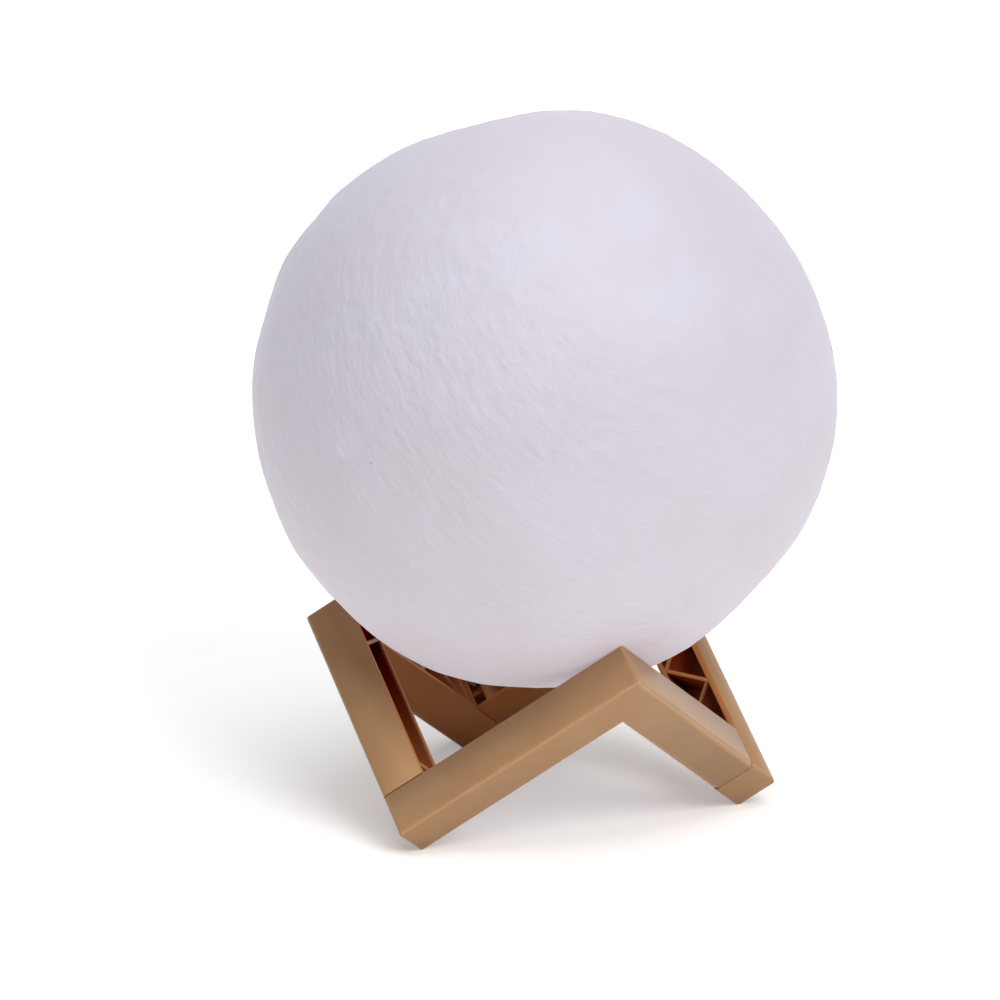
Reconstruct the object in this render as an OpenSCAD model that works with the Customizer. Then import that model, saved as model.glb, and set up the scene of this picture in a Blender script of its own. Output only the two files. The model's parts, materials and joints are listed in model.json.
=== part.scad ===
// Moon lamp. A printed globe rests loose on a stand of three moulded legs that plug into one
// another, and its light unit is held by a collar in the neck of the globe's underside.
// The origin is on the surface that it stands on, under the middle of the stand, with +Z up.

/* [Globe] */
// Diameter of the globe
globe_d = 151; // [140:1:156]
// Thickness of the printed wall
globe_wall = 1.8; // [1.2:0.1:2.4]
// Bore of the printed neck in the underside
opening_d = 36; // [34:0.5:40]
// Thickness of the neck
neck_wall = 2.4; // [1.6:0.1:3.2]
// Height of the neck above the flat round its mouth
neck_h = 8; // [5:0.5:12]
// Width of the flat that shows outside the collar
flat_rim = 0.5; // [0.2:0.1:1]
// Gap between the globe and the three peaks
seat_gap = 0.1; // [0.05:0.05:0.2]

/* [Stand] */
// Length of a leg along its outer edge, from the peak to the foot
leg_len = 76.4; // [72:0.1:80]
// Width of a leg across its flat outer face
leg_w = 12.5; // [11:0.1:15]
// Depth of a leg, from the outer face to the open side
leg_depth = 12.8; // [11:0.1:14]
// Angle between a leg's two arms, which stand a little wider than square
leg_angle = 91.3; // [90:0.1:93]
// Thickness of the moulded walls
leg_wall = 1.5; // [1.2:0.1:1.8]
// Thickness of the stiffening ribs
rib_t = 1; // [0.8:0.1:1.6]
// Distance along the leg from one rib's end to the next on the same wall
rib_pitch = 20; // [18:1:24]
// Distance from the socket's rib to the plain rib above it
plain_rib_gap = 3; // [2:0.5:4]
// Radius of the outer face's edges and of the foot's upper corner
edge_r = 1.5; // [1:0.1:1.8]
// Radius of the foot's lowest corner and of its end
foot_r = 0.8; // [0.5:0.1:0.8]
// Radius of the corner at the peak
peak_r = 0.8; // [0.3:0.1:1]
// Gap that shows where one leg ends against the next
joint_gap = 0.4; // [0.2:0.1:0.8]
// Depth of the recess in the end that plugs in
end_recess = 3; // [2:0.5:5]
// Length of the peg inside its socket
peg_len = 7; // [5:0.5:9]
// Thickness of the peg's crossed plates
peg_t = 2; // [1.5:0.1:3]
// Height that is ground flat off the lowest corner of each foot
foot_flat = 0.8; // [0.8:0.1:1.2]

/* [Collar and cap] */
// Glue gap between the collar and the neck
glue_gap = 0.1; // [0.05:0.05:0.2]
// Thickness of the collar's tube
collar_wall = 1.5; // [1.2:0.1:1.8]
// Height of the collar's tube above the flat
collar_h = 10; // [8:0.5:14]
// Width of the collar's flange outside the neck's bore
flange_w = 1.5; // [1:0.1:2]
// Thickness of the flange
flange_t = 1.2; // [1:0.1:1.6]
// Width of the ledge inside the collar
ledge_w = 3.4; // [3.2:0.1:3.6]
// Thickness of the ledge
ledge_t = 1.5; // [1.2:0.1:2]
// Gap round the cap and round the cup
cap_gap = 0.2; // [0.1:0.05:0.3]
// Thickness of the cap
cap_t = 2.4; // [2:0.1:3]
// Depth of the cap's face inside the flange
cap_recess = 0.4; // [0.2:0.1:0.6]
// Width of the metal touch ring
ring_w = 2; // [1.5:0.1:2.2]
// Thickness of the touch ring
ring_t = 0.8; // [0.6:0.1:1]
// Height of the touch ring above the cap's face
ring_proud = 0.2; // [0.1:0.1:0.3]

/* [Screws] */
// Diameter of every screw's shank
screw_d = 1.4; // [1.2:0.1:1.5]
// Diameter of every screw's head
screw_head_d = 2.6; // [2.2:0.1:2.7]
// Height of every screw's head
screw_head_h = 0.9; // [0.7:0.1:1]
// Gap round a shank in a hole that it passes through
screw_gap = 0.15; // [0.1:0.05:0.2]
// Number of screws in the cap, and in the control board
screw_count = 3; // [3:1:3]
// Length of the cap's screws under the head
cap_screw_len = 6; // [5.5:0.5:6.5]

/* [Switch and socket] */
// Diameter of the power button
button_d = 5.6; // [5:0.1:6]
// Height of the button outside the cap
button_proud = 0.9; // [0.6:0.1:1.2]
// Travel of the button
button_travel = 1; // [0.6:0.1:1.2]
// Width of the button's inner flange
button_flange_w = 0.9; // [0.7:0.1:1]
// Thickness of the button's inner flange
button_flange_t = 0.8; // [0.6:0.1:1]
// Gap round the button in its hole
button_gap = 0.08; // [0.05:0.01:0.1]
// Distance of the button from the middle
button_x = 5.2; // [4.8:0.1:5.4]
// Diameter of the switch's plunger
plunger_d = 3.2; // [2.6:0.1:3.6]
// Length of the plunger
plunger_len = 2.6; // [2.4:0.1:3]
// Side of the square switch
switch_side = 6; // [5.5:0.1:6.5]
// Height of the switch
switch_h = 3.5; // [3.2:0.1:4]
// Width of the charging socket's shell
socket_w = 7.6; // [7.4:0.1:8]
// Height of the mouth across the shell
socket_t = 2.9; // [2.7:0.1:3.2]
// Sheet thickness of the shell
socket_wall = 0.35; // [0.3:0.05:0.4]
// Depth of the socket's mouth
socket_depth = 5.5; // [5:0.1:6]
// Distance of the socket from the middle
socket_x = 5; // [4.8:0.1:5.4]
// Diameter of the charging light
light_d = 3; // [2.6:0.1:3.2]
// Distance of the charging light from the middle
light_y = 7; // [6.6:0.1:7.4]

/* [Control board] */
// Height of the board's lower face above the flat
board_v = 7.5; // [7.5:0.1:8]
// Thickness of the board
board_t = 1.2; // [1:0.1:1.6]
// Gap round the board
board_gap = 0.5; // [0.3:0.1:0.8]
// Radius of the circle of the board's screws
board_screw_r = 10; // [9.6:0.1:10.4]
// Height of the posts that the board hangs from
board_post_h = 3.3; // [3.2:0.1:4]
// Diameter of the posts
board_post_d = 4; // [3.6:0.1:4.4]

/* [Battery and cup] */
// Thickness of the cell
cell_t = 6; // [5:0.5:7]
// Width of the cell
cell_w = 24; // [20:1:25]
// Height of the cell
cell_h = 36; // [30:1:40]
// Gap on each side of the cell
cell_gap = 0.15; // [0.1:0.05:0.3]
// Thickness of the foam under the cell
pad_t = 1; // [0.8:0.1:1.5]
// Thickness of the cup's wall, floor and rails
cup_wall = 1.5; // [1.2:0.1:1.8]
// Free height over the cell
cell_room = 1.5; // [1:0.5:4]

/* [Lamp post] */
// Thickness of the plate that closes the cup
plate_t = 2; // [1.6:0.1:3]
// Depth of the plate's spigot
spigot_h = 2.5; // [2:0.5:4]
// Gap round the spigot
spigot_gap = 0.1; // [0.05:0.05:0.2]
// Diameter of the post
post_d = 14; // [13:0.5:15]
// Height of the post
post_h = 8; // [5:1:12]
// Diameter of the light board
led_board_d = 22; // [21.5:0.5:24]
// Thickness of the light board and of the post's head
led_board_t = 1.6; // [1.2:0.1:2]
// Number of light chips
led_count = 6; // [4:2:6]
// Radius of the ring of light chips
led_ring_r = 7; // [6.6:0.1:7.2]
// Radius of the light board's screws
led_screw_r = 8.5; // [8.3:0.1:8.7]
// Diameter of every wire
wire_d = 1; // [0.8:0.1:1.2]

/* [Hidden] */
$fn = 96;
eps = 0.01;
over = 1; // how far a cutting shape runs past what it cuts

// The legs lie on the faces of a cube that stands on its corner, so the cube's diagonal is upright.
// Where their arms open past a right angle, the cube is flattened along that diagonal.
cube_tilt = acos(1 / sqrt(3));
edge_rise = sqrt((1 + 2 * cos(leg_angle)) / 3); // height that an arm gains, as a share of its length
edge_run = sqrt(1 - pow(edge_rise, 2)); // distance that it goes outwards
opened = [edge_run * sqrt(3 / 2), edge_run * sqrt(3 / 2), edge_rise * sqrt(3)];
stand_drop = (leg_len - leg_w) * edge_rise + foot_flat;
leg_end = leg_depth + joint_gap; // where the leg that plugs in stops
notch = leg_len - leg_w;
channel_w = leg_w - 2 * leg_wall;
socket_rib = leg_depth - leg_wall; // the socket is as wide as the neighbour's peg
peg_floor = leg_depth - peg_len;

// The globe touches each peak's inner corner, where the corner's round is furthest in
globe_r = globe_d / 2;
peak_touch = leg_len - peak_r * (1 - sqrt(0.5));
seat_r = (peak_touch - leg_depth) * edge_run;
seat_z = (2 * peak_touch + leg_depth) * edge_rise - stand_drop;
globe_z = seat_z + sqrt(pow(globe_r + seat_gap, 2) - pow(seat_r, 2));

flange_r = opening_d / 2 + flange_w;
flat_r = flange_r + flat_rim;
flat_z = globe_z - sqrt(pow(globe_r, 2) - pow(flat_r, 2)); // the mouth's flat, from which v is measured

collar_r = opening_d / 2 - glue_gap;
collar_bore_r = collar_r - collar_wall;
cap_r = collar_bore_r - cap_gap;
cap_v = -flange_t + cap_recess;
ledge_v = cap_v + cap_t;
cup_v = ledge_v + ledge_t;

boss_r = 1.7;
boss_inset = 0.2; // the bosses stay this far inside the cup's outside
boss_clear = 0.5; // free height from the bosses to the board
cap_screw_r = cap_r - boss_inset - boss_r;
head_gap = 0.1;
head_recess = 0.1;
ring_margin = 0.3;
ring_r = cap_screw_r - screw_head_d / 2 - ring_margin;
ring_mid_r = ring_r - ring_w / 2;
ring_v = cap_v - ring_proud;
cap_screw_v = cap_v + head_recess + screw_head_h;

button_chamfer = 0.3;
plunger_v = ledge_v + button_flange_t;
plunger_gap = 0.08;
switch_room = 0.4; // free depth over the plunger when it is pressed
switch_v = board_v - switch_h;
plunger_bore = plunger_v + plunger_len + button_travel + switch_room - switch_v;

socket_set_in = 0.3; // depth of the socket's mouth inside the cap's face
socket_v = cap_v + socket_set_in;
socket_corner = 0.9;
slot_gap = 0.2;
tongue_w = 3.7;
tongue_t = 0.7;
tongue_h = 4.5;

light_top = 2; // free height from the light pipe to the board
board_r = cap_r - cup_wall - board_gap;
board_top = board_v + board_t;
chip = [4, 5, 1.5];
chip_at = [-6.5, -5, 0];
coil = [3, 3, 2];
coil_at = [-6, 3, 0];
capacitor_d = 3;
capacitor_h = 2.4;
capacitor_x = 3;
capacitor_y = 7;
light_chip = [1.6, 0.8, 0.8];
board_screw_bite = 2.6;
board_screw_len = board_t + board_screw_bite;
floor_v = board_top + board_post_h;
floor_top = floor_v + cup_wall;
cup_r = cap_r;
cup_bore_r = cup_r - cup_wall;
boss_top = board_v - boss_clear;
cell_v = floor_top + pad_t;
cell_corner = 2;
pad_w = 16;
rail_grip = 1.5; // how far the rails reach over the cell's edges
cup_top = cell_v + cell_h + cell_room;
battery_lead_y = 10;
battery_hole_d = 2;

post_wall = 1.5;
post_bore_r = post_d / 2 - post_wall;
post_v = cup_top + plate_t;
head_v = post_v + post_h;
led_board_v = head_v + led_board_t;
led_v = led_board_v + led_board_t;
led_screw_bite = 1.2;
led_screw_len = led_board_t + led_screw_bite;
led_chip = [2.8, 3.5, 0.8];
lead_gap = 0.45; // gap between the cell's flat side and the wires that pass it
lead_x = cell_t / 2 + cell_gap + lead_gap + wire_d / 2;
lead_y = 1;
lead_hole_d = 4.4;

tan_plastic = [0.69, 0.53, 0.38];
globe_white = [0.88, 0.86, 0.91];
white_plastic = [0.93, 0.93, 0.92];

// ---- Stand ----

// Removes a square corner at the origin and leaves it round, for material in the first quadrant
module corner_nick(r) {
    difference() {
        translate([-over, -over]) square(r + over);
        translate([r, r]) circle(r);
    }
}

// Turns a flat shape into a bar along Y, or along X, with the shape's own y upwards
module bar_along_y(from, to) {
    translate([0, to, 0]) rotate([90, 0, 0]) linear_extrude(to - from) children();
}
module bar_along_x(from, to) {
    translate([from, 0, 0]) rotate([90, 0, 90]) linear_extrude(to - from) children();
}

// The space on one side of a leg, which widens at the outer face to round that edge
module flared_side() {
    translate([-leg_len, -over]) square([leg_len, leg_depth + 2 * over]);
    difference() {
        translate([-eps, -over]) square([edge_r + eps, edge_r + over]);
        translate([edge_r, edge_r]) circle(edge_r);
    }
}

module leg_block() {
    far = notch + edge_r + over;
    difference() {
        translate([leg_end, 0, 0]) cube([leg_len - leg_end, leg_len, leg_depth]);
        intersection() {
            translate([notch, 0, 0]) bar_along_y(-over, far) flared_side();
            translate([0, notch, 0]) bar_along_x(0, far) flared_side();
        }
        translate([leg_len, 0, 0]) bar_along_y(-over, leg_len + over) mirror([1, 0]) corner_nick(edge_r);
        translate([0, leg_len, 0]) bar_along_x(0, leg_len + over) mirror([1, 0]) corner_nick(edge_r);
        bar_along_x(0, leg_len + over) corner_nick(foot_r);
        translate([0, 0, -over]) linear_extrude(leg_depth + 2 * over) {
            translate([notch, 0]) corner_nick(foot_r);
            translate([leg_len, 0]) mirror([1, 0]) corner_nick(edge_r);
            translate([leg_len, leg_len]) rotate(180) corner_nick(peak_r);
        }
    }
}

module leg_hollow() {
    depth = leg_depth - leg_wall + over;
    inner = notch + leg_wall;
    end_wall = leg_end + end_recess;
    translate([inner, leg_wall, leg_wall]) cube([channel_w, leg_len - 2 * leg_wall, depth]);
    translate([end_wall + leg_wall, inner, leg_wall])
        cube([inner - end_wall - leg_wall + eps, channel_w, depth]);
    translate([leg_end - over, inner, leg_wall]) cube([end_recess + over, channel_w, depth]);
}

// A rib from one point on a wall's inside to another, run a little way into both walls
module rib(from, to) {
    bite = 0.4;
    run = to - from;
    angle = atan2(run[1], run[0]);
    translate([from[0], from[1], leg_wall - eps]) rotate(angle)
        translate([-bite, -rib_t / 2, 0])
            cube([norm(run) + 2 * bite, rib_t, leg_depth - leg_wall + eps]);
}

module leg_ribs() {
    inner = notch + leg_wall;
    outer = leg_len - leg_wall;
    top = notch - leg_wall - rib_t;
    plain = socket_rib + rib_t + plain_rib_gap;
    for (y = [socket_rib + rib_t / 2, plain + rib_t / 2]) rib([inner, y], [outer, y]);
    for (y = [top : -rib_pitch : plain + rib_t + rib_pitch / 2]) {
        rib([inner, y], [outer, y - rib_pitch / 2]);
        if (y - rib_pitch > plain) rib([outer, y - rib_pitch / 2], [inner, y - rib_pitch]);
    }
    rib([notch - rib_pitch / 4, outer], [inner, notch + leg_wall / 2]);
}

module leg_peg() {
    inner = notch + leg_wall;
    reach = leg_end + end_recess + leg_wall / 2 - peg_floor;
    rise = socket_rib - leg_wall;
    translate([peg_floor, inner, leg_wall + (rise - peg_t) / 2]) cube([reach, channel_w, peg_t]);
    translate([peg_floor, inner + (channel_w - peg_t) / 2, leg_wall]) cube([reach, peg_t, rise]);
}

// One leg of the stand: a channel bent square at its peak, turned about the upright axis
module stand_leg(turn) {
    color(tan_plastic) rotate(turn) difference() {
        translate([0, 0, -stand_drop]) scale(opened) rotate([0, 0, -90]) rotate([0, -cube_tilt, 0]) rotate([0, 0, -45]) {
            difference() {
                leg_block();
                leg_hollow();
            }
            leg_ribs();
            leg_peg();
        }
        translate([-leg_len, -leg_len, -leg_w]) cube([2 * leg_len, 2 * leg_len, leg_w]);
    }
}

module leg_front() { stand_leg(0); }
module leg_right() { stand_leg(120); }
module leg_left() { stand_leg(240); }

// ---- Globe and collar ----

module tube(outer_r, inner_r, h) {
    difference() {
        cylinder(r = outer_r, h = h);
        translate([0, 0, -over]) cylinder(r = inner_r, h = h + 2 * over);
    }
}

module from_flat(v = 0) {
    translate([0, 0, flat_z + v]) children();
}

// Copies a shape round the upright axis
module around(count, r, first = 0) {
    for (i = [0 : count - 1]) rotate(first + 360 * i / count) translate([r, 0, 0]) children();
}

module globe_shell() {
    color(globe_white) difference() {
        translate([0, 0, globe_z]) sphere(globe_r, $fn = 180);
        difference() {
            translate([0, 0, globe_z]) sphere(globe_r - globe_wall, $fn = 180);
            from_flat(-globe_r) cylinder(d = opening_d + 2 * neck_wall, h = globe_r + neck_h);
        }
        from_flat(-globe_r) cylinder(d = opening_d, h = globe_r + neck_h + over);
        from_flat(-globe_r) cylinder(r = globe_r, h = globe_r);
    }
}

module collar_ring() {
    color(white_plastic) from_flat() difference() {
        union() {
            translate([0, 0, -flange_t]) tube(collar_r, collar_bore_r, collar_h + flange_t);
            translate([0, 0, -flange_t]) tube(flange_r, collar_r - eps, flange_t);
            translate([0, 0, ledge_v]) tube(collar_r - eps, collar_bore_r - ledge_w, ledge_t);
        }
        around(screw_count, cap_screw_r, 60)
            translate([0, 0, ledge_v - over]) cylinder(d = screw_d + 2 * screw_gap, h = ledge_t + 2 * over);
    }
}

module rounded_slot(w, t, corner, h) {
    linear_extrude(h) {
        square([t, w - 2 * corner], center = true);
        square([t - 2 * corner, w], center = true);
        for (x = [-1, 1], y = [-1, 1])
            translate([x * (t / 2 - corner), y * (w / 2 - corner)]) circle(corner, $fn = 48);
    }
}

module base_cap() {
    through = cap_t + 2 * over;
    color(white_plastic) from_flat() difference() {
        translate([0, 0, cap_v]) cylinder(r = cap_r, h = cap_t);
        translate([0, 0, ring_v]) tube(ring_r, ring_r - ring_w, ring_t);
        translate([0, 0, cap_v - over]) {
            translate([-button_x, 0, 0]) cylinder(d = button_d + 2 * button_gap, h = through);
            translate([socket_x, 0, 0])
                rounded_slot(socket_w + 2 * slot_gap, socket_t + 2 * slot_gap, socket_corner + slot_gap, through);
            translate([0, -light_y, 0]) cylinder(d = light_d, h = through);
            translate([0, ring_mid_r, 0]) cylinder(d = wire_d + 2 * screw_gap, h = through);
            around(screw_count, cap_screw_r, 60) {
                cylinder(d = screw_d + 2 * screw_gap, h = through);
                cylinder(d = screw_head_d + 2 * head_gap, h = over + cap_screw_v - cap_v);
            }
        }
    }
}

module touch_ring() {
    color("Silver") from_flat(ring_v) tube(ring_r, ring_r - ring_w, ring_t);
}

module touch_lead() {
    color("Gold") from_flat(ring_v + ring_t) translate([0, ring_mid_r, 0])
        cylinder(d = wire_d, h = board_v - ring_v - ring_t, $fn = 24);
}

// A screw with its head below the origin and its shank above
module screw(len) {
    translate([0, 0, -screw_head_h]) cylinder(d = screw_head_d, h = screw_head_h, $fn = 36);
    translate([0, 0, -eps]) cylinder(d = screw_d, h = len + eps, $fn = 36);
}

module cap_screws() {
    color("Silver") from_flat(cap_screw_v) around(screw_count, cap_screw_r, 60) screw(cap_screw_len);
}

// ---- Button, switch and charging socket ----

module power_button() {
    bottom = cap_v - button_proud;
    stem_r = button_d / 2;
    color("WhiteSmoke") from_flat() translate([-button_x, 0, 0]) rotate_extrude() polygon([
        [0, bottom], [stem_r - button_chamfer, bottom], [stem_r, bottom + button_chamfer],
        [stem_r, ledge_v], [stem_r + button_flange_w, ledge_v],
        [stem_r + button_flange_w, plunger_v], [0, plunger_v]
    ]);
}

module switch_plunger() {
    color("DimGray") from_flat(plunger_v) translate([-button_x, 0, 0])
        cylinder(d = plunger_d, h = plunger_len, $fn = 48);
}

module switch_body() {
    color([0.15, 0.15, 0.16]) from_flat(switch_v) translate([-button_x, 0, 0]) difference() {
        translate([-switch_side / 2, -switch_side / 2, 0]) cube([switch_side, switch_side, switch_h]);
        translate([0, 0, -over]) cylinder(d = plunger_d + 2 * plunger_gap, h = plunger_bore + over, $fn = 48);
    }
}

module charge_socket() {
    color("Silver") from_flat(socket_v) translate([socket_x, 0, 0]) difference() {
        rounded_slot(socket_w, socket_t, socket_corner, board_v - socket_v);
        translate([0, 0, -over]) rounded_slot(socket_w - 2 * socket_wall, socket_t - 2 * socket_wall,
            socket_corner - socket_wall, socket_depth + over);
    }
}

module socket_tongue() {
    color([0.1, 0.1, 0.11]) from_flat(socket_v + socket_depth - tongue_h)
        translate([socket_x - tongue_t / 2, -tongue_w / 2, 0]) cube([tongue_t, tongue_w, tongue_h]);
}

module charge_light() {
    color([0.85, 0.9, 0.85]) from_flat(cap_v) translate([0, -light_y, 0])
        cylinder(d = light_d, h = board_v - light_top - cap_v);
}

// ---- Control board ----

module control_board() {
    color("DarkGreen") from_flat(board_v) difference() {
        cylinder(r = board_r, h = board_t);
        around(screw_count, board_screw_r)
            translate([0, 0, -over]) cylinder(d = screw_d + 2 * screw_gap, h = board_t + 2 * over, $fn = 36);
    }
}

// Control chip, coil, two capacitors and the charging light's own chip
module board_parts() {
    color([0.12, 0.12, 0.13]) from_flat(board_top) {
        translate(chip_at) cube(chip);
        translate(coil_at) cube(coil);
        for (y = [-capacitor_y, capacitor_y])
            translate([capacitor_x, y, 0]) cylinder(d = capacitor_d, h = capacitor_h, $fn = 36);
    }
    color("LightYellow") from_flat(board_v - light_chip[2])
        translate([-light_chip[0] / 2, -light_y - light_chip[1] / 2, 0]) cube(light_chip);
}

module board_screws() {
    color("Silver") from_flat(board_v) around(screw_count, board_screw_r) screw(board_screw_len);
}

// ---- Cup and battery ----

// The rails stand beside the cell's two edges and keep it upright
module cell_rails() {
    near = cell_t / 2 + cell_gap;
    for (x = [-near - cup_wall, near], side = [0, 180])
        rotate(side) translate([x, cell_w / 2 - rail_grip, floor_v]) cube([cup_wall, cup_r, cup_wall + cell_h]);
}

// The space below the cup's floor, round the screw bosses and the board's posts
module board_bay() {
    difference() {
        translate([0, 0, cup_v - over]) cylinder(r = cup_bore_r, h = floor_v - cup_v + over);
        around(screw_count, cap_screw_r, 60)
            translate([0, 0, cup_v - 2 * over]) cylinder(r = boss_r, h = boss_top - cup_v + 2 * over);
        around(screw_count, board_screw_r)
            translate([0, 0, board_top]) cylinder(d = board_post_d, h = board_post_h + over);
    }
}

module cell_bay() {
    difference() {
        translate([0, 0, floor_top]) cylinder(r = cup_bore_r, h = cup_top - floor_top + over);
        cell_rails();
    }
}

module housing_cup() {
    color(white_plastic) from_flat() difference() {
        translate([0, 0, cup_v]) cylinder(r = cup_r, h = cup_top - cup_v);
        board_bay();
        cell_bay();
        around(screw_count, cap_screw_r, 60)
            translate([0, 0, cup_v - over]) cylinder(d = screw_d, h = boss_top - cup_v + 2 * over, $fn = 36);
        around(screw_count, board_screw_r)
            translate([0, 0, board_top - over]) cylinder(d = screw_d, h = board_post_h + over, $fn = 36);
        for (y = [-battery_lead_y, battery_lead_y])
            translate([0, y, floor_v - over]) cylinder(d = battery_hole_d, h = cup_wall + 2 * over, $fn = 36);
        translate([lead_x, 0, floor_v - over]) cylinder(d = lead_hole_d, h = cup_wall + 2 * over, $fn = 48);
    }
}

module battery_pad() {
    color("SlateGray") from_flat(floor_top) translate([-cell_t / 2, -pad_w / 2, 0]) cube([cell_t, pad_w, pad_t]);
}

module battery_cell() {
    color("LightSteelBlue") from_flat(cell_v) rounded_slot(cell_w, cell_t, cell_corner, cell_h);
}

module battery_leads() {
    color("Crimson") from_flat(board_top) for (y = [-battery_lead_y, battery_lead_y])
        translate([0, y, 0]) cylinder(d = wire_d, h = cell_v - board_top, $fn = 24);
}

// ---- Post and lights ----

module lamp_post() {
    spigot_r = cup_bore_r - spigot_gap;
    color(white_plastic) from_flat(cup_top) difference() {
        union() {
            cylinder(r = cup_r, h = plate_t);
            translate([0, 0, -spigot_h]) tube(spigot_r, spigot_r - cup_wall, spigot_h + eps);
            cylinder(d = post_d, h = plate_t + post_h + eps);
            translate([0, 0, plate_t + post_h]) cylinder(d = led_board_d, h = led_board_t);
        }
        translate([0, 0, -over]) cylinder(r = post_bore_r, h = plate_t + post_h + led_board_t + 2 * over);
        around(2, led_screw_r, 90) translate([0, 0, plate_t + post_h - over])
            cylinder(d = screw_d, h = led_board_t + 2 * over, $fn = 36);
    }
}

module led_board() {
    color("Gainsboro") from_flat(led_board_v) difference() {
        cylinder(d = led_board_d, h = led_board_t);
        around(2, led_screw_r, 90) translate([0, 0, -over])
            cylinder(d = screw_d + 2 * screw_gap, h = led_board_t + 2 * over, $fn = 36);
    }
}

module led_chips() {
    color("LightYellow") from_flat(led_v) around(led_count, led_ring_r)
        translate([-led_chip[0] / 2, -led_chip[1] / 2, 0]) cube(led_chip);
}

module led_screws() {
    color("Silver") from_flat(led_v) around(2, led_screw_r, 90) mirror([0, 0, 1]) screw(led_screw_len);
}

module led_leads() {
    color("Crimson") from_flat(board_top) for (y = [-lead_y, lead_y])
        translate([lead_x, y, 0]) cylinder(d = wire_d, h = led_board_v - board_top, $fn = 24);
}

leg_front();
leg_right();
leg_left();
globe_shell();
collar_ring();
base_cap();
touch_ring();
touch_lead();
cap_screws();
power_button();
switch_plunger();
switch_body();
charge_socket();
socket_tongue();
charge_light();
control_board();
board_parts();
board_screws();
housing_cup();
battery_pad();
battery_cell();
battery_leads();
lamp_post();
led_board();
led_chips();
led_screws();
led_leads();
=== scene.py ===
import json
import math
import random

import bmesh
import bpy
from mathutils import Matrix, Vector, bvhtree, kdtree, noise


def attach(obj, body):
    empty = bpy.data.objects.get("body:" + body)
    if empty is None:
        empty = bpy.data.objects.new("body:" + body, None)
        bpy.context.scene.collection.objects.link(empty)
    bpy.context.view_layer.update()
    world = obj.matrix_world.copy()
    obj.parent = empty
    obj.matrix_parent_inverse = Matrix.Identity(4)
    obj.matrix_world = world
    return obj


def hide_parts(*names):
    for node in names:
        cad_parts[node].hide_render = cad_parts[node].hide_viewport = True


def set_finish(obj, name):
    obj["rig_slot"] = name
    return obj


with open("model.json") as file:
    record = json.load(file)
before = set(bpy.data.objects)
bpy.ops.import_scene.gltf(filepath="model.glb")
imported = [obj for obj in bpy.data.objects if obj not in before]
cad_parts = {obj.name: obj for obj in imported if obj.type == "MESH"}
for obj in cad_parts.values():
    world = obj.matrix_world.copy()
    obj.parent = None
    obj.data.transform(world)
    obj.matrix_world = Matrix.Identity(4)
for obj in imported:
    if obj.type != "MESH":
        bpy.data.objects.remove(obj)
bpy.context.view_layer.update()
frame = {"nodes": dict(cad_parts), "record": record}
nodes = frame["nodes"]
mm = 0.001


class Wire:
    # a shader socket that takes part in plain arithmetic
    def __init__(self, finish, socket):
        self.finish = finish
        self.socket = socket

    def sum(self, operation, first, second):
        return self.finish.add("ShaderNodeMath", {"operation": operation}, {0: first, 1: second})

    def __add__(self, other):
        return self.sum("ADD", self, other)

    def __sub__(self, other):
        return self.sum("SUBTRACT", self, other)

    def __rsub__(self, other):
        return self.sum("SUBTRACT", other, self)

    def __mul__(self, other):
        return self.sum("MULTIPLY", self, other)

    __radd__ = __add__
    __rmul__ = __mul__


class Nodes:
    # a node tree and the one way to add a node to it
    def __init__(self, tree):
        self.tree = tree

    def end(self, output, value):
        self.tree.links.new(value.socket, self.tree.nodes[output].inputs["Surface"])

    def add(self, kind, settings=None, values=None, out=0):
        node = self.tree.nodes.new(kind)
        for key, value in (settings or {}).items():
            if key == "stops":
                for stop in range(len(value) - 2):
                    node.color_ramp.elements.new(0.5)
                for element, (position, shade) in zip(node.color_ramp.elements, value):
                    element.position = position
                    element.color = shade if hasattr(shade, "__len__") else (shade, shade, shade, 1)
            else:
                setattr(node, key, value)
        for key, value in (values or {}).items():
            if isinstance(value, Wire):
                self.tree.links.new(value.socket, node.inputs[key])
            else:
                node.inputs[key].default_value = value
        return Wire(self, node.outputs[out])


class Finish(Nodes):
    # one material; what varies is wired to its shader, what doesn't is set on it
    def __init__(self, name, **constants):
        self.material = bpy.data.materials.new(name)
        self.material.use_nodes = True
        super().__init__(self.material.node_tree)
        self.shader = self.tree.nodes["Principled BSDF"]
        for socket, value in constants.items():
            self.shader.inputs[socket.replace("_", " ")].default_value = value
        self.place = self.add("ShaderNodeTexCoord", out="Object")

    def grain(self, scale, detail, roughness, place=None):
        return self.add("ShaderNodeTexNoise", None, {
            "Vector": place or self.place, "Scale": scale, "Detail": detail, "Roughness": roughness})

    def vector(self, operation, values, out=0):
        return self.add("ShaderNodeVectorMath", {"operation": operation}, values, out)

    def ramp(self, value, low, high):
        return self.add("ShaderNodeMapRange", {"interpolation_type": "SMOOTHSTEP"}, {
            "Value": value, "From Min": low, "From Max": high})

    def blend(self, share, first, second):
        return self.add("ShaderNodeMix", {"data_type": "RGBA"}, {0: share, 6: first, 7: second}, out=2)

    def spot(self, centre, radius, softness, place):
        # a mask that is 1 at a point and fades out round its radius
        away = self.vector("DISTANCE", {0: place, 1: centre}, out="Value")
        return 1 - self.ramp(away, radius * (1 - softness), radius * (1 + softness))

    def bump(self, height, depth, strength, under=None):
        values = {"Strength": strength, "Distance": depth, "Height": height}
        if under:
            values["Normal"] = under
        return self.add("ShaderNodeBump", None, values)

    def wear(self, socket, value):
        self.tree.links.new(value.socket, self.shader.inputs[socket])


def towards(azimuth, elevation):
    a, e = math.radians(azimuth), math.radians(elevation)
    return Vector((math.cos(a) * math.cos(e), math.sin(a) * math.cos(e), math.sin(e)))


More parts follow.
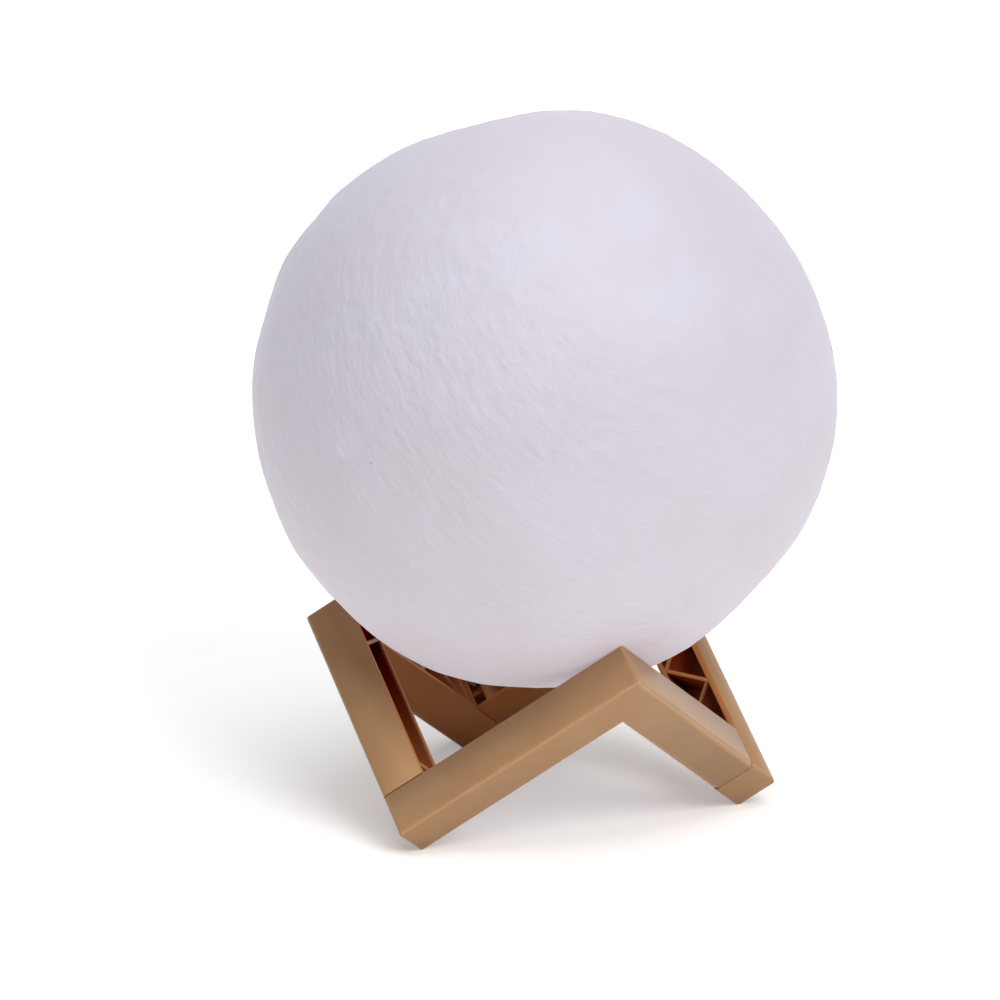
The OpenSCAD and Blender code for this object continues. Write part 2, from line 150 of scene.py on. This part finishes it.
def tint(red, green, blue):
    # a colour as an eye reads it, 0 to 255, in the shader's linear light
    def linear(value):
        value = value / 255
        return value / 12.92 if value <= 0.04045 else ((value + 0.055) / 1.055) ** 2.4
    return (linear(red), linear(green), linear(blue), 1.0)


globeFinish = {
    "colour": tint(163, 159, 168),
    "shade": tint(160, 154, 161),
    "cloud": (32, 3, 0.55),    # scale, detail and roughness of the patches of shade
    "glowAndFillLow": tint(160, 153, 158),    # light that the thin wall lets through, plus painted fill light, most of it low down where it lifts the shade
    "glowAndFillHigh": tint(134, 132, 143),
    "glowSpan": 0.95,    # share of the radius below and above the centre that the two are spread over
    "roughness": 0.6,
    "grain": (1300, 2, 0.6),
    "grainDepth": 0.05 * mm,
    "stroke": (165, 2, 0.5),
    "strokeDepth": 0.9 * mm,
    "strokePress": 2.0,    # how far the strokes are drawn together along the pole
    "strokeLeast": 0.25,    # share of the strokes' height left where they stand out least
    "markSoftness": 0.8,
    "pole": (-81.4, 37.0),    # azimuth and elevation that the strokes run round
    "roughest": (-135, -35),    # where the strokes stand out most
    "centre": (0, 0, 110.874 * mm),
    "radius": 75.5 * mm,
    # colour, azimuth, elevation and radius in mm of small marks on the face: the dark ones are specks, the
    # light ones painted highlights where small bumps catch the light
    "specksAndPaintedHighlights": [
        (tint(96, 84, 92), -148.4, -1.1, 0.32),
        (tint(168, 165, 173), -154.0, 2.4, 3.2),
        (tint(167, 164, 171), -156.4, -0.2, 1.6),
        (tint(168, 165, 173), -141.3, -22.0, 0.8),
        (tint(167, 164, 172), -177.6, 17.4, 1.1),
        (tint(140, 132, 136), -82.0, 35.3, 0.22),
    ],
}


def makeGlobePlastic(setting):
    paint = Finish("printedGlobe", IOR=1.46, Emission_Strength=1.0)
    facing = paint.vector("SUBTRACT", {0: paint.place, 1: setting["centre"]})
    facing = paint.vector("NORMALIZE", {0: facing})
    cloud = paint.grain(*setting["cloud"])
    colour = paint.blend(paint.ramp(cloud, 0.35, 0.65), setting["colour"], setting["shade"])
    # the light marks are painted highlights, the dark ones specks
    for mark, azimuth, elevation, width in setting["specksAndPaintedHighlights"]:
        share = width * mm / setting["radius"]
        near = paint.spot(towards(azimuth, elevation), share, setting["markSoftness"], facing)
        colour = paint.blend(near, colour, mark)
    paint.wear("Base Color", colour)
    # painted light: the glow is brighter towards the bottom, where it lifts the shade from the floor
    height = paint.add("ShaderNodeSeparateXYZ", None, {"Vector": facing}, out="Z")
    high = paint.ramp(height, -setting["glowSpan"], setting["glowSpan"])
    paint.wear("Emission Color", paint.blend(high, setting["glowAndFillLow"], setting["glowAndFillHigh"]))
    # the printer's strokes run in rings round the pole, so the grain is drawn together along its axis
    pole = towards(*setting["pole"])
    along = paint.vector("DOT_PRODUCT", {0: paint.place, 1: pole}, out="Value")
    drawn = paint.vector("SCALE", {0: pole, "Scale": along * setting["strokePress"]})
    strokes = paint.grain(*setting["stroke"], paint.vector("ADD", {0: paint.place, 1: drawn}))
    rough = paint.vector("DOT_PRODUCT", {0: facing, 1: towards(*setting["roughest"])}, out="Value")
    grains = paint.grain(*setting["grain"])
    share = paint.ramp(rough, -0.3, 0.9) * (1 - setting["strokeLeast"]) + setting["strokeLeast"]
    relief = paint.bump(strokes * share, setting["strokeDepth"], 0.6)
    relief = paint.bump(grains, setting["grainDepth"], 0.4, relief)
    paint.wear("Normal", relief)
    paint.wear("Roughness", grains * 0.12 + (setting["roughness"] - 0.06))
    return paint.material


legFinish = {
    "colour": tint(182, 142, 102),
    "shade": tint(176, 135, 96),
    "ridge": tint(206, 170, 132),    # light catches the rounded outer edges
    "inwardShade": tint(172, 104, 50),    # painted shade: faces turned inwards, which light each other, get a darker, redder colour
    # painted shade, darker and redder towards the bottom of the inward faces
    "inwardShadeLow": tint(158, 80, 30),
    # painted shade: a dull colour without sheen for the inward faces
    "inwardMattShade": tint(192, 128, 76),
    # painted shade in the leg's channel and seams
    "channel": tint(168, 96, 46),
    "deepShade": tint(126, 22, 12),    # painted shade down in the channel and in the seams
    "sheen": (1.0, 0.62, 0.36, 1),
    "ridgeShare": 0.55,
    "mattShare": 0.7,
    "roughness": 0.4,
    "cloud": (60, 3, 0.6),    # scale, detail and roughness of the patches of shade
    "grain": (1400, 3, 0.6),
    "grainDepth": 0.05 * mm,
    "wave": (110, 2, 0.5),
    "waveDepth": 0.25 * mm,
    "channelEdge": 0.07,    # share of the channel's depth over which its painted shade comes in
    "inwardShadeHeights": (8 * mm, 34 * mm),
    "deepHeights": (16 * mm, 40 * mm),
    "deepLeast": 0.2,    # share of the deep colour in the lowest part of the channel
}


def makeLegPlastic(setting):
    paint = Finish("tanPlastic", IOR=1.45, Specular_Tint=setting["sheen"])
    cloud = paint.grain(*setting["cloud"])
    hollow = paint.add("ShaderNodeAttribute", {"attribute_name": "hollow"}, out="Fac")
    inward = paint.add("ShaderNodeAttribute", {"attribute_name": "inward"}, out="Fac")
    ridge = paint.add("ShaderNodeAttribute", {"attribute_name": "ridge"}, out="Fac")
    height = paint.add("ShaderNodeSeparateXYZ", None, {"Vector": paint.place}, out="Z")
    colour = paint.blend(paint.ramp(cloud, 0.3, 0.7), setting["colour"], setting["shade"])
    colour = paint.blend(ridge * setting["ridgeShare"], colour, setting["ridge"])
    # painted shade on faces turned inwards, darker towards the bottom
    inwardShade = paint.blend(paint.ramp(height, *setting["inwardShadeHeights"]), setting["inwardShadeLow"], setting["inwardShade"])
    # painted shade: channel floors and seams take darker colours, darkest higher up under the globe
    near = paint.ramp(hollow, 0.0, setting["channelEdge"])
    paint.wear("Base Color", paint.blend(near, paint.blend(inward, colour, inwardShade), setting["channel"]))
    grains = paint.grain(*setting["grain"])
    waves = paint.grain(*setting["wave"])
    paint.wear("Roughness", grains * 0.16 + (setting["roughness"] - 0.08))
    relief = paint.bump(waves, setting["waveDepth"], 0.25)
    relief = paint.bump(grains, setting["grainDepth"], 0.5, relief)
    paint.wear("Normal", relief)
    # painted shade: the inward faces partly lose their sheen and take a dull shaded colour
    inwardMattShade = paint.add("ShaderNodeBsdfDiffuse", None, {"Color": setting["inwardMattShade"]})
    # painted shade: a dark dull colour without sheen down in the channel
    dark = paint.add("ShaderNodeBsdfDiffuse", None, {"Color": setting["deepShade"]})
    high = paint.ramp(height, *setting["deepHeights"])
    face = paint.add("ShaderNodeMixShader", None, {
        0: inward * setting["mattShare"], 1: Wire(paint, paint.shader.outputs[0]), 2: inwardMattShade})
    paint.end("Material Output", paint.add("ShaderNodeMixShader", None, {
        0: near * (high * (1 - setting["deepLeast"]) + setting["deepLeast"]), 1: face, 2: dark}))
    return paint.material


def makePlainPlastic(name, colour, shade, roughness):
    paint = Finish(name, IOR=1.48)
    cloud = paint.grain(180, 3, 0.6)
    grains = paint.grain(1800, 2, 0.6)
    paint.wear("Base Color", paint.blend(paint.ramp(cloud, 0.3, 0.7), colour, shade))
    paint.wear("Roughness", grains * 0.15 + (roughness - 0.07))
    paint.wear("Normal", paint.bump(grains, 0.04 * mm, 0.5))
    return paint.material


def makeMetal(name, colour, roughness):
    paint = Finish(name, Metallic=1.0)
    cloud = paint.grain(400, 4, 0.6)
    paint.wear("Base Color", paint.blend(cloud, colour, [c * 0.8 for c in colour[:3]] + [1]))
    paint.wear("Roughness", cloud * 0.2 + (roughness - 0.1))
    paint.wear("Normal", paint.bump(cloud, 0.02 * mm, 0.4))
    return paint.material


finishes = {
    "tan_plastic": makeLegPlastic(legFinish),
    "printed_globe": makeGlobePlastic(globeFinish),
    "white_plastic": makePlainPlastic("whitePlastic", tint(236, 236, 233), tint(228, 227, 224), 0.4),
    "ring_metal": makeMetal("platedRing", tint(205, 204, 200), 0.25),
    "screw_steel": makeMetal("screwSteel", tint(185, 184, 182), 0.35),
    "socket_steel": makeMetal("socketSteel", tint(190, 190, 188), 0.3),
    "button_plastic": makePlainPlastic("buttonPlastic", tint(232, 232, 230), tint(222, 222, 220), 0.35),
    "black_plastic": makePlainPlastic("blackPlastic", tint(38, 38, 40), tint(46, 46, 48), 0.45),
    "light_pipe": makePlainPlastic("lightPipe", tint(228, 232, 228), tint(220, 226, 220), 0.2),
    "board_green": makePlainPlastic("boardGreen", tint(26, 92, 58), tint(22, 80, 50), 0.35),
    "foam": makePlainPlastic("foamPad", tint(110, 112, 116), tint(92, 94, 98), 0.8),
    "cell_foil": makeMetal("cellFoil", tint(176, 182, 190), 0.4),
    "led_board_white": makePlainPlastic("lightBoard", tint(234, 235, 235), tint(226, 227, 228), 0.35),
    "led_yellow": makePlainPlastic("lightChip", tint(240, 226, 120), tint(236, 214, 96), 0.4),
    "wire": makePlainPlastic("wireCover", tint(180, 40, 36), tint(168, 34, 30), 0.4),
}
print("finishes made")


legShape = {
    "edge": 0.2 * mm,    # softening of the moulded edges
    "depth": 12.8 * mm,
    "wall": 1.5 * mm,
    "channel": 14 * mm,    # widest reach from one wall of the channel to the other
    "seam": 1 * mm,
    "skin": 0.1 * mm,    # how far off a face the looks around from it start
    "inwardGain": 1.6,
    "ridgeWidth": 0.3,    # either side of the middle of a rounded edge, as a cosine
}


bevel = {
    "merge": 0.03 * mm,    # points of a solid closer than this are one
    "corner": 50,    # least angle in degrees of a corner that is bevelled
    "tries": 10,
    "stray": 1.5,    # widths that a bevelled face may stand off the solid
    "near": 3,    # widths from a folded face within which corners stay sharp
    "far": 8,    # the same where none is near
}


def foldedSpots(mesh, solid, reach):
    # the corners of faces that don't lie on the solid, or lie on it the wrong way round
    check = mesh.copy()
    bmesh.ops.triangulate(check, faces=check.faces)
    spots = []
    for face in check.faces:
        spot, normal, index, away = solid.find_nearest(face.calc_center_median())
        folded = away > reach or normal.dot(face.normal) < -0.2
        if folded and face.calc_area() > bevel["merge"] ** 2:
            spots += [v.co.copy() for v in face.verts]
    check.free()
    return spots


def softened(node, width):
    # a copy of a solid with its outward corners bevelled, but for those whose bevel would fold a face over
    mesh = bmesh.new()
    mesh.from_mesh(nodes[node].data)
    bmesh.ops.remove_doubles(mesh, verts=mesh.verts, dist=bevel["merge"])
    solid = bvhtree.BVHTree.FromBMesh(mesh)
    mesh.edges.index_update()
    mesh.edges.ensure_lookup_table()
    least = math.radians(bevel["corner"])
    corners = [e.index for e in mesh.edges
               if len(e.link_faces) == 2 and e.is_convex and e.calc_face_angle() > least]
    for attempt in range(bevel["tries"]):
        trial = mesh.copy()
        trial.edges.ensure_lookup_table()
        bmesh.ops.bevel(trial, geom=[trial.edges[index] for index in corners], offset=width,
                        offset_type="OFFSET", affect="EDGES", segments=2, profile=0.5, material=-1,
                        clamp_overlap=False)
        for v in trial.verts:    # a bevel that ran past a tiny edge comes back to the solid
            spot, normal, index, away = solid.find_nearest(v.co)
            if away > bevel["stray"] * width:
                v.co = spot
        spots = foldedSpots(trial, solid, bevel["stray"] * width)
        if not spots:
            mesh.free()
            return trial
        trial.free()
        tree = kdtree.KDTree(len(spots))
        for index, spot in enumerate(spots):
            tree.insert(spot, index)
        tree.balance()
        near = {index: min(tree.find(v.co)[2] for v in mesh.edges[index].verts) for index in corners}
        clear = width * (bevel["near"] if min(near.values()) < bevel["near"] * width else bevel["far"])
        corners = [index for index in corners if near[index] > clear]
    return mesh


def joinedTree(names):
    joined = bmesh.new()
    for name in names:
        joined.from_mesh(nodes[name].data)
    return bvhtree.BVHTree.FromBMesh(joined)


def markHollow(mesh, setting, others):
    # hollow is 0 on the outside of a leg and rises to 1 on the floor of its channel and in its seams, and
    # inward is 1 where a face looks towards the middle of the stand; the leg's material paints shade by both
    hollow = mesh.loops.layers.float.new("hollow")
    inward = mesh.loops.layers.float.new("inward")
    ridge = mesh.loops.layers.float.new("ridge")
    flat = mesh.copy()
    bmesh.ops.dissolve_limit(flat, angle_limit=math.radians(0.5), use_dissolve_boundaries=False,
                             verts=flat.verts, edges=flat.edges)
    outer = max(flat.faces, key=lambda face: face.calc_area())
    foot, down = outer.calc_center_median(), outer.normal.copy()
    flat.free()
    tree = bvhtree.BVHTree.FromBMesh(mesh)
    for face in mesh.faces:
        middle = face.calc_center_median()
        start = middle + face.normal * setting["skin"]
        below = setting["depth"] + (middle - foot).dot(down)
        facing = face.normal.dot(down)
        inside = facing < -0.5 and below > setting["wall"]
        if abs(facing) <= 0.5:
            inside = tree.ray_cast(start, face.normal, setting["channel"])[0] is not None
        seam = others.ray_cast(start, face.normal, setting["seam"])[0] is not None
        outwards = Vector((middle.x, middle.y, 0)).normalized()
        for loop in face.loops:
            loop[inward] = min(1.0, max(0.0, -setting["inwardGain"] * face.normal.dot(outwards)))
            if inside:
                depth = setting["depth"] + (loop.vert.co - foot).dot(down)
                loop[hollow] = min(1.0, max(0.0, depth / (setting["depth"] - setting["wall"])))
            elif seam:
                loop[hollow] = 1.0
            elif 0.1 < facing < 0.99:
                loop[ridge] = max(0.0, 1 - abs(loop.vert.normal.dot(down) - 0.707) / setting["ridgeWidth"])


def place(mesh, name, body, slot, replaced=None):
    data = bpy.data.meshes.new(name)
    mesh.to_mesh(data)
    mesh.free()
    data.materials.append(finishes[slot])
    piece = bpy.data.objects.new(name, data)
    bpy.context.scene.collection.objects.link(piece)
    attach(piece, body)
    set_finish(piece, slot)
    if replaced:
        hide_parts(replaced)
    return piece


def pour(extra, mesh):
    # adds one mesh to another
    holder = bpy.data.meshes.new("holder")
    extra.to_mesh(holder)
    extra.free()
    mesh.from_mesh(holder)
    bpy.data.meshes.remove(holder)


def shadeByAngle(piece, degrees):
    piece.data.shade_smooth()
    piece.data.set_sharp_from_angle(angle=math.radians(degrees))


legs = ("leg_front", "leg_right", "leg_left")
for node in legs:
    leg = softened(node, legShape["edge"])
    markHollow(leg, legShape, joinedTree(n for n in legs if n != node))
    shadeByAngle(place(leg, node + "_moulded", "stand", "tan_plastic", node), 40)
print("legs made")


globe = {
    "cuts": 118,    # cuts along each side of the cube that becomes the sphere
    "radius": 75.5 * mm,
    "inside": 73.7 * mm,
    "centre": 110.874 * mm,
    "flat": 38.071 * mm,    # height of the flat round the opening
    "openingRadius": 18 * mm,
    "neckRadius": 20.4 * mm,
    "neckHeight": 8 * mm,
    "lip": 2.2 * mm,    # height above the flat at which the neck meets the inside
    "insideCuts": 26,
    "seatClear": (2 * mm, 16 * mm),    # the relief fades in over these distances from a peak
    "flatClear": (20.5 * mm, 27 * mm),    # and over these from the upright axis, low down
    "craters": 60,
    "smallest": 1.6,    # radius in mm of about the smallest crater, and of the largest
    "widest": 9.0,
    "slopes": (0.012, 0.03),    # least and greatest depth of a crater, as a share of its radius
    "rimHeight": 0.45,
    "rimWidth": 0.22,
    # azimuth, elevation, radius in mm and steepness of the dimples that show most
    "dimples": [(-154.8, 1.9, 4.0, 0.05), (-144.5, 54.8, 3.4, 0.05),
                (-128.0, 37.3, 3.2, 0.05), (-140.2, 13.6, 1.8, 0.08)],
    "seed": 7,
}
# broad swells and dents: azimuth, elevation, height in mm, spread in degrees
globeLumps = [
    (-37.9, -41.6, -1.5, 9.0),
    (-27.4, -14.1, -0.35, 6.0),
    (-23.9, -0.5, 1.6, 20.0),
    (-11.5, 37.8, 0.35, 6.0),
    (-1.2, 54.4, 0.8, 7.0),
    (23.6, 68.7, 1.35, 9.5),
    (100.0, 70.5, -1.6, 8.5),
    (113.1, 68.6, -0.4, 4.0),
    (140.6, 44.4, 1.05, 6.0),
    (147.4, 29.3, 1.2, 6.0),
    (153.8, 7.8, 1.0, 18.0),
    (165.5, -30.2, 0.7, 7.0),
    (-171.6, -63.0, 1.3, 12.0),
]
globeLean = Vector((1.39, -0.77, -0.56))    # the printed ball stands this many mm off centre
globeSwell = 0.32    # and its relief this many mm above the plain ball
noiseRadius = 75    # radius in mm of the ball on which the fine relief's waves are measured
# height and length of wave in mm of the fine relief, and where in the noise it is taken
globeWaves = [
    (0.30, 22, (0, 0, 0)),
    (0.16, 8, (5, 0, 0)),
    (0.12, 3.6, (0, 9, 0)),
    (0.07, 2.2, (0, 0, 3)),
]
seat = {"radius": 52.32 * mm, "height": 56.30 * mm, "turns": (-90, 30, 150)}    # the three peaks
contactPoints = [towards(turn, 0) * seat["radius"] + Vector((0, 0, seat["height"])) for turn in seat["turns"]]


def eased(value, low, high):
    share = min(1.0, max(0.0, (value - low) / (high - low)))
    return share * share * (3 - 2 * share)


def cubeSphere(cuts, radius):
    mesh = bmesh.new()
    bmesh.ops.create_cube(mesh, size=2.0)
    bmesh.ops.subdivide_edges(mesh, edges=mesh.edges[:], cuts=cuts, use_grid_fill=True)
    for v in mesh.verts:
        spread = Vector([math.tan(c * math.pi / 4) for c in v.co])
        v.co = spread.normalized() * radius
    return mesh


def rollCraters(setting):
    draw = random.Random(setting["seed"])
    craters = []
    for count in range(setting["craters"]):
        centre = Vector((draw.gauss(0, 1), draw.gauss(0, 1), draw.gauss(0, 1))).normalized()
        width = min(setting["widest"], setting["smallest"] / (draw.random() ** 0.62 + 0.05)) * mm
        craters.append((centre, width, draw.uniform(*setting["slopes"])))
    for azimuth, elevation, width, steepness in setting["dimples"]:
        craters.append((towards(azimuth, elevation), width * mm, steepness))
    return craters


def addCraters(mesh, heights, setting):
    tree = kdtree.KDTree(len(mesh.verts))
    for v in mesh.verts:
        tree.insert(v.co, v.index)
    tree.balance()
    for centre, width, steepness in rollCraters(setting):
        depth = width * steepness
        for point, index, away in tree.find_range(centre * setting["radius"], width * 1.7):
            reach = away / width
            bowl = -depth * max(0.0, 1 - reach ** 2) ** 0.8
            rim = depth * setting["rimHeight"] * math.exp(-((reach - 1.0) / setting["rimWidth"]) ** 2)
            heights[index] += bowl + rim


def reliefAt(direction):
    height = direction.dot(globeLean) + globeSwell
    for azimuth, elevation, lift, spread in globeLumps:
        away = math.degrees(direction.angle(towards(azimuth, elevation)))
        height += lift * math.exp(-0.5 * (away / spread) ** 2)
    for lift, wave, start in globeWaves:
        height += lift * noise.noise(direction * noiseRadius / wave + Vector(start))
    return height * mm


def makeGlobe(setting):
    centre = Vector((0, 0, setting["centre"]))
    mesh = cubeSphere(setting["cuts"], setting["radius"])
    mesh.verts.index_update()
    mesh.verts.ensure_lookup_table()
    directions = [v.co.normalized() for v in mesh.verts]
    heights = [reliefAt(d) for d in directions]
    addCraters(mesh, heights, setting)
    for v, direction, height in zip(mesh.verts, directions, heights):
        spot = direction * setting["radius"] + centre
        clear = min((spot - c).length for c in contactPoints)
        height *= eased(clear, *setting["seatClear"])
        if spot.z < centre.z:
            height *= eased(math.hypot(spot.x, spot.y), *setting["flatClear"])
        v.co = direction * (setting["radius"] + height) + centre
    bmesh.ops.bisect_plane(mesh, geom=mesh.verts[:] + mesh.edges[:] + mesh.faces[:], dist=1e-7,
                           plane_co=(0, 0, setting["flat"]), plane_no=(0, 0, -1), clear_outer=True)
    edges = [e for e in mesh.edges if e.is_boundary]
    for radius, lift in ((setting["openingRadius"], 0), (None, setting["neckHeight"]),
                         (setting["neckRadius"], 0), (None, setting["lip"] - setting["neckHeight"])):
        grown = bmesh.ops.extrude_edge_only(mesh, edges=edges)["geom"]
        edges = [g for g in grown if isinstance(g, bmesh.types.BMEdge)]
        for v in {v for e in edges for v in e.verts}:
            if radius:
                scale = radius / math.hypot(v.co.x, v.co.y)
                v.co.x *= scale
                v.co.y *= scale
            v.co.z += lift
    inner = cubeSphere(setting["insideCuts"], setting["inside"])
    bmesh.ops.translate(inner, verts=inner.verts, vec=centre)
    cut = centre.z - math.sqrt(setting["inside"] ** 2 - setting["neckRadius"] ** 2)
    bmesh.ops.bisect_plane(inner, geom=inner.verts[:] + inner.edges[:] + inner.faces[:], dist=1e-7,
                           plane_co=(0, 0, cut), plane_no=(0, 0, -1), clear_outer=True)
    bmesh.ops.reverse_faces(inner, faces=inner.faces)
    pour(inner, mesh)
    bmesh.ops.bridge_loops(mesh, edges=[e for e in mesh.edges if e.is_boundary])
    bmesh.ops.recalc_face_normals(mesh, faces=mesh.faces)
    print("globe closed:", all(len(e.link_faces) == 2 for e in mesh.edges),
          "volume in ml:", round(mesh.calc_volume(signed=True) * 1e6, 1))
    return mesh


shadeByAngle(place(makeGlobe(globe), "globe_printed", "globe", "printed_globe", "globe_shell"), 50)
print("globe made")


slotOf = {part["node"]: part["material_slot"] for part in frame["record"]["subparts"]}
bodyOf = {node: body for body, held in frame["record"]["behaviour"]["bodies"].items() for node in held}


screw = {
    "head": 1.3 * mm,    # radius
    "headHeight": 0.9 * mm,
    "shank": 0.7 * mm,
    "cross": 1.5 * mm,    # from one end of the cross recess to the other
    "recess": 0.5 * mm,
    "draft": 0.85,    # size of the recess's floor against its mouth
    "softening": 0.12 * mm,
}


def makeScrew(setting, length):
    # one screw, head up, with the middle of its face at the origin
    mesh = bmesh.new()
    bmesh.ops.create_grid(mesh, x_segments=3, y_segments=3, size=setting["cross"] / 2)
    arm = setting["cross"] / 6
    cross = [f for f in mesh.faces if min(abs(c) for c in f.calc_center_median().xy) < arm]
    rim = [e for e in mesh.edges if e.is_boundary]
    sunk = bmesh.ops.extrude_face_region(mesh, geom=cross)["geom"]
    bottom = [g for g in sunk if isinstance(g, bmesh.types.BMVert)]
    bmesh.ops.delete(mesh, geom=cross, context="FACES_KEEP_BOUNDARY")
    bmesh.ops.scale(mesh, verts=bottom, vec=(setting["draft"], setting["draft"], 1))
    bmesh.ops.translate(mesh, verts=bottom, vec=(0, 0, -setting["recess"]))
    rim = sorted({v for e in rim for v in e.verts}, key=lambda v: math.atan2(v.co.y, v.co.x))
    turns = [math.atan2(v.co.y, v.co.x) for v in rim]
    turns.append(turns[0] + 2 * math.pi)
    radius = setting["head"] - setting["softening"]
    ring = []
    for first, last in zip(turns, turns[1:]):
        for turn in (first, (first + last) / 2):
            ring.append(mesh.verts.new((radius * math.cos(turn), radius * math.sin(turn), 0)))
    for count in range(len(rim)):
        mesh.faces.new((rim[count], ring[2 * count], ring[2 * count + 1],
                        ring[(2 * count + 2) % len(ring)], rim[(count + 1) % len(rim)]))
    edges = [mesh.edges.get((ring[count - 1], ring[count])) for count in range(len(ring))]
    for radius, height in ((setting["head"], -setting["softening"]),
                           (setting["head"], -setting["headHeight"]),
                           (setting["shank"], -setting["headHeight"]),
                           (setting["shank"], -setting["headHeight"] - length)):
        grown = bmesh.ops.extrude_edge_only(mesh, edges=edges)["geom"]
        edges = [g for g in grown if isinstance(g, bmesh.types.BMEdge)]
        for v in {v for e in edges for v in e.verts}:
            v.co = v.co.xy.normalized().to_3d() * radius + Vector((0, 0, height))
    bmesh.ops.holes_fill(mesh, edges=edges)
    bmesh.ops.recalc_face_normals(mesh, faces=mesh.faces)
    return mesh


def islandBoxes(node):
    # the corners of each separate solid in a node
    mesh = bmesh.new()
    mesh.from_mesh(nodes[node].data)
    bmesh.ops.remove_doubles(mesh, verts=mesh.verts, dist=0.01 * mm)
    left = set(mesh.verts)
    boxes = []
    while left:
        found = {left.pop()}
        edge = set(found)
        while edge:
            edge = {e.other_vert(v) for v in edge for e in v.link_edges} - found
            found |= edge
        left -= found
        low = Vector([min(v.co[axis] for v in found) for axis in range(3)])
        high = Vector([max(v.co[axis] for v in found) for axis in range(3)])
        boxes.append((low, high))
    mesh.free()
    return sorted(boxes, key=lambda box: tuple(box[0]))


for node, headUp in (("cap_screws", False), ("board_screws", False), ("led_screws", True)):
    heads = bmesh.new()
    for low, high in islandBoxes(node):
        one = makeScrew(screw, high.z - low.z - screw["headHeight"])
        if not headUp:
            bmesh.ops.rotate(one, verts=one.verts, matrix=Matrix.Rotation(math.pi, 3, "X"))
        middle = (low + high) / 2
        bmesh.ops.translate(one, verts=one.verts, vec=(middle.x, middle.y, high.z if headUp else low.z))
        pour(one, heads)
    shadeByAngle(place(heads, node + "_crossed", bodyOf[node], slotOf[node], node), 30)
print("screws made")


softening = {    # how far the corners of each piece are taken off, in mm
    "collar_ring": 0.25, "base_cap": 0.2, "touch_ring": 0.12, "power_button": 0.15, "housing_cup": 0.2,
    "lamp_post": 0.2, "battery_cell": 0.4, "control_board": 0.08, "led_board": 0.08, "battery_pad": 0.15,
}
for node, width in softening.items():
    shadeByAngle(place(softened(node, width * mm), node + "_eased", bodyOf[node], slotOf[node], node), 40)
print("small pieces made")


for name, thing in nodes.items():
    if thing.hide_render:
        continue
    thing.data.materials.clear()
    thing.data.materials.append(finishes[slotOf[name]])
    thing["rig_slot"] = slotOf[name]
print("nodes dressed")


studio = {
    "floorSize": 12.0,
    "floorColour": (0.94, 0.94, 0.94, 1),
    "floorGlow": 0.33,    # what the camera sees added to the floor, whose own shadow stays
    # metres from the middle over which the floor turns as white as the backdrop, by so many times the glow
    "whitening": (0.3, 1.0),
    "farGlow": 4,
    "aim": (0, 0, 0.08),
}
# azimuth and elevation that the light comes from, distance, width, power
lamps = {
    "overhead": ((-90, 86), 2.0, 2.2, 33.0),
    "upper": ((-90, 60), 2.0, 2.2, 6.0),
    "front": ((-82, 38), 2.0, 1.2, 21.0),
}
cameraView = {
    "place": (-0.70903, -1.60417, 0.54849),
    "turn": (75.1358, 0.616, -23.6759),
    "lens": 246.877,
}


def seenDirectly(finish):
    # 1 for what the camera sees, straight or in a mirror or glass
    sight = finish.add("ShaderNodeLightPath", out="Is Camera Ray")
    gloss = finish.add("ShaderNodeLightPath", out="Is Glossy Ray")
    glass = finish.add("ShaderNodeLightPath", out="Is Transmission Ray")
    return sight.sum("MAXIMUM", sight.sum("MAXIMUM", sight, gloss), glass)


def makeFloor(setting):
    paint = Finish("studioFloor", Roughness=0.9, Base_Color=setting["floorColour"],
                   Specular_IOR_Level=0.0, Emission_Strength=setting["floorGlow"])
    away = paint.vector("LENGTH", {0: paint.place}, out="Value")
    far = paint.ramp(away, *setting["whitening"])
    paint.wear("Emission Color", seenDirectly(paint) * (far * (setting["farGlow"] - 1) + 1))
    mesh = bmesh.new()
    bmesh.ops.create_grid(mesh, x_segments=1, y_segments=1, size=setting["floorSize"] / 2)
    data = bpy.data.meshes.new("floor")
    mesh.to_mesh(data)
    mesh.free()
    data.materials.append(paint.material)
    floor = bpy.data.objects.new("floor", data)
    bpy.context.scene.collection.objects.link(floor)


def makeWorld():
    world = bpy.data.worlds.new("studio")
    bpy.context.scene.world = world
    world.use_nodes = True
    air = Nodes(world.node_tree)
    air.end("World Output", air.add("ShaderNodeBackground", None, {
        "Color": seenDirectly(air), "Strength": 1.0}))


def softbox(name, turn, away, width, power, aim):
    lamp = bpy.data.lights.new(name, "AREA")
    lamp.shape = "DISK"
    lamp.size = width
    lamp.energy = power
    holder = bpy.data.objects.new(name, lamp)
    holder.location = Vector(aim) + towards(*turn) * away
    holder.rotation_euler = towards(*turn).to_track_quat("Z", "Y").to_euler()
    bpy.context.scene.collection.objects.link(holder)


makeFloor(studio)
makeWorld()
for name, (turn, away, width, power) in lamps.items():
    softbox(name, turn, away, width, power, studio["aim"])

camera = bpy.data.objects.new("camera", bpy.data.cameras.new("camera"))
camera.data.sensor_width = 36
camera.data.lens = cameraView["lens"]
camera.data.clip_start = 0.1
camera.location = cameraView["place"]
camera.rotation_euler = [math.radians(a) for a in cameraView["turn"]]
bpy.context.scene.collection.objects.link(camera)
bpy.context.scene.camera = camera
bpy.context.scene.view_settings.view_transform = "Standard"
print("studio made")
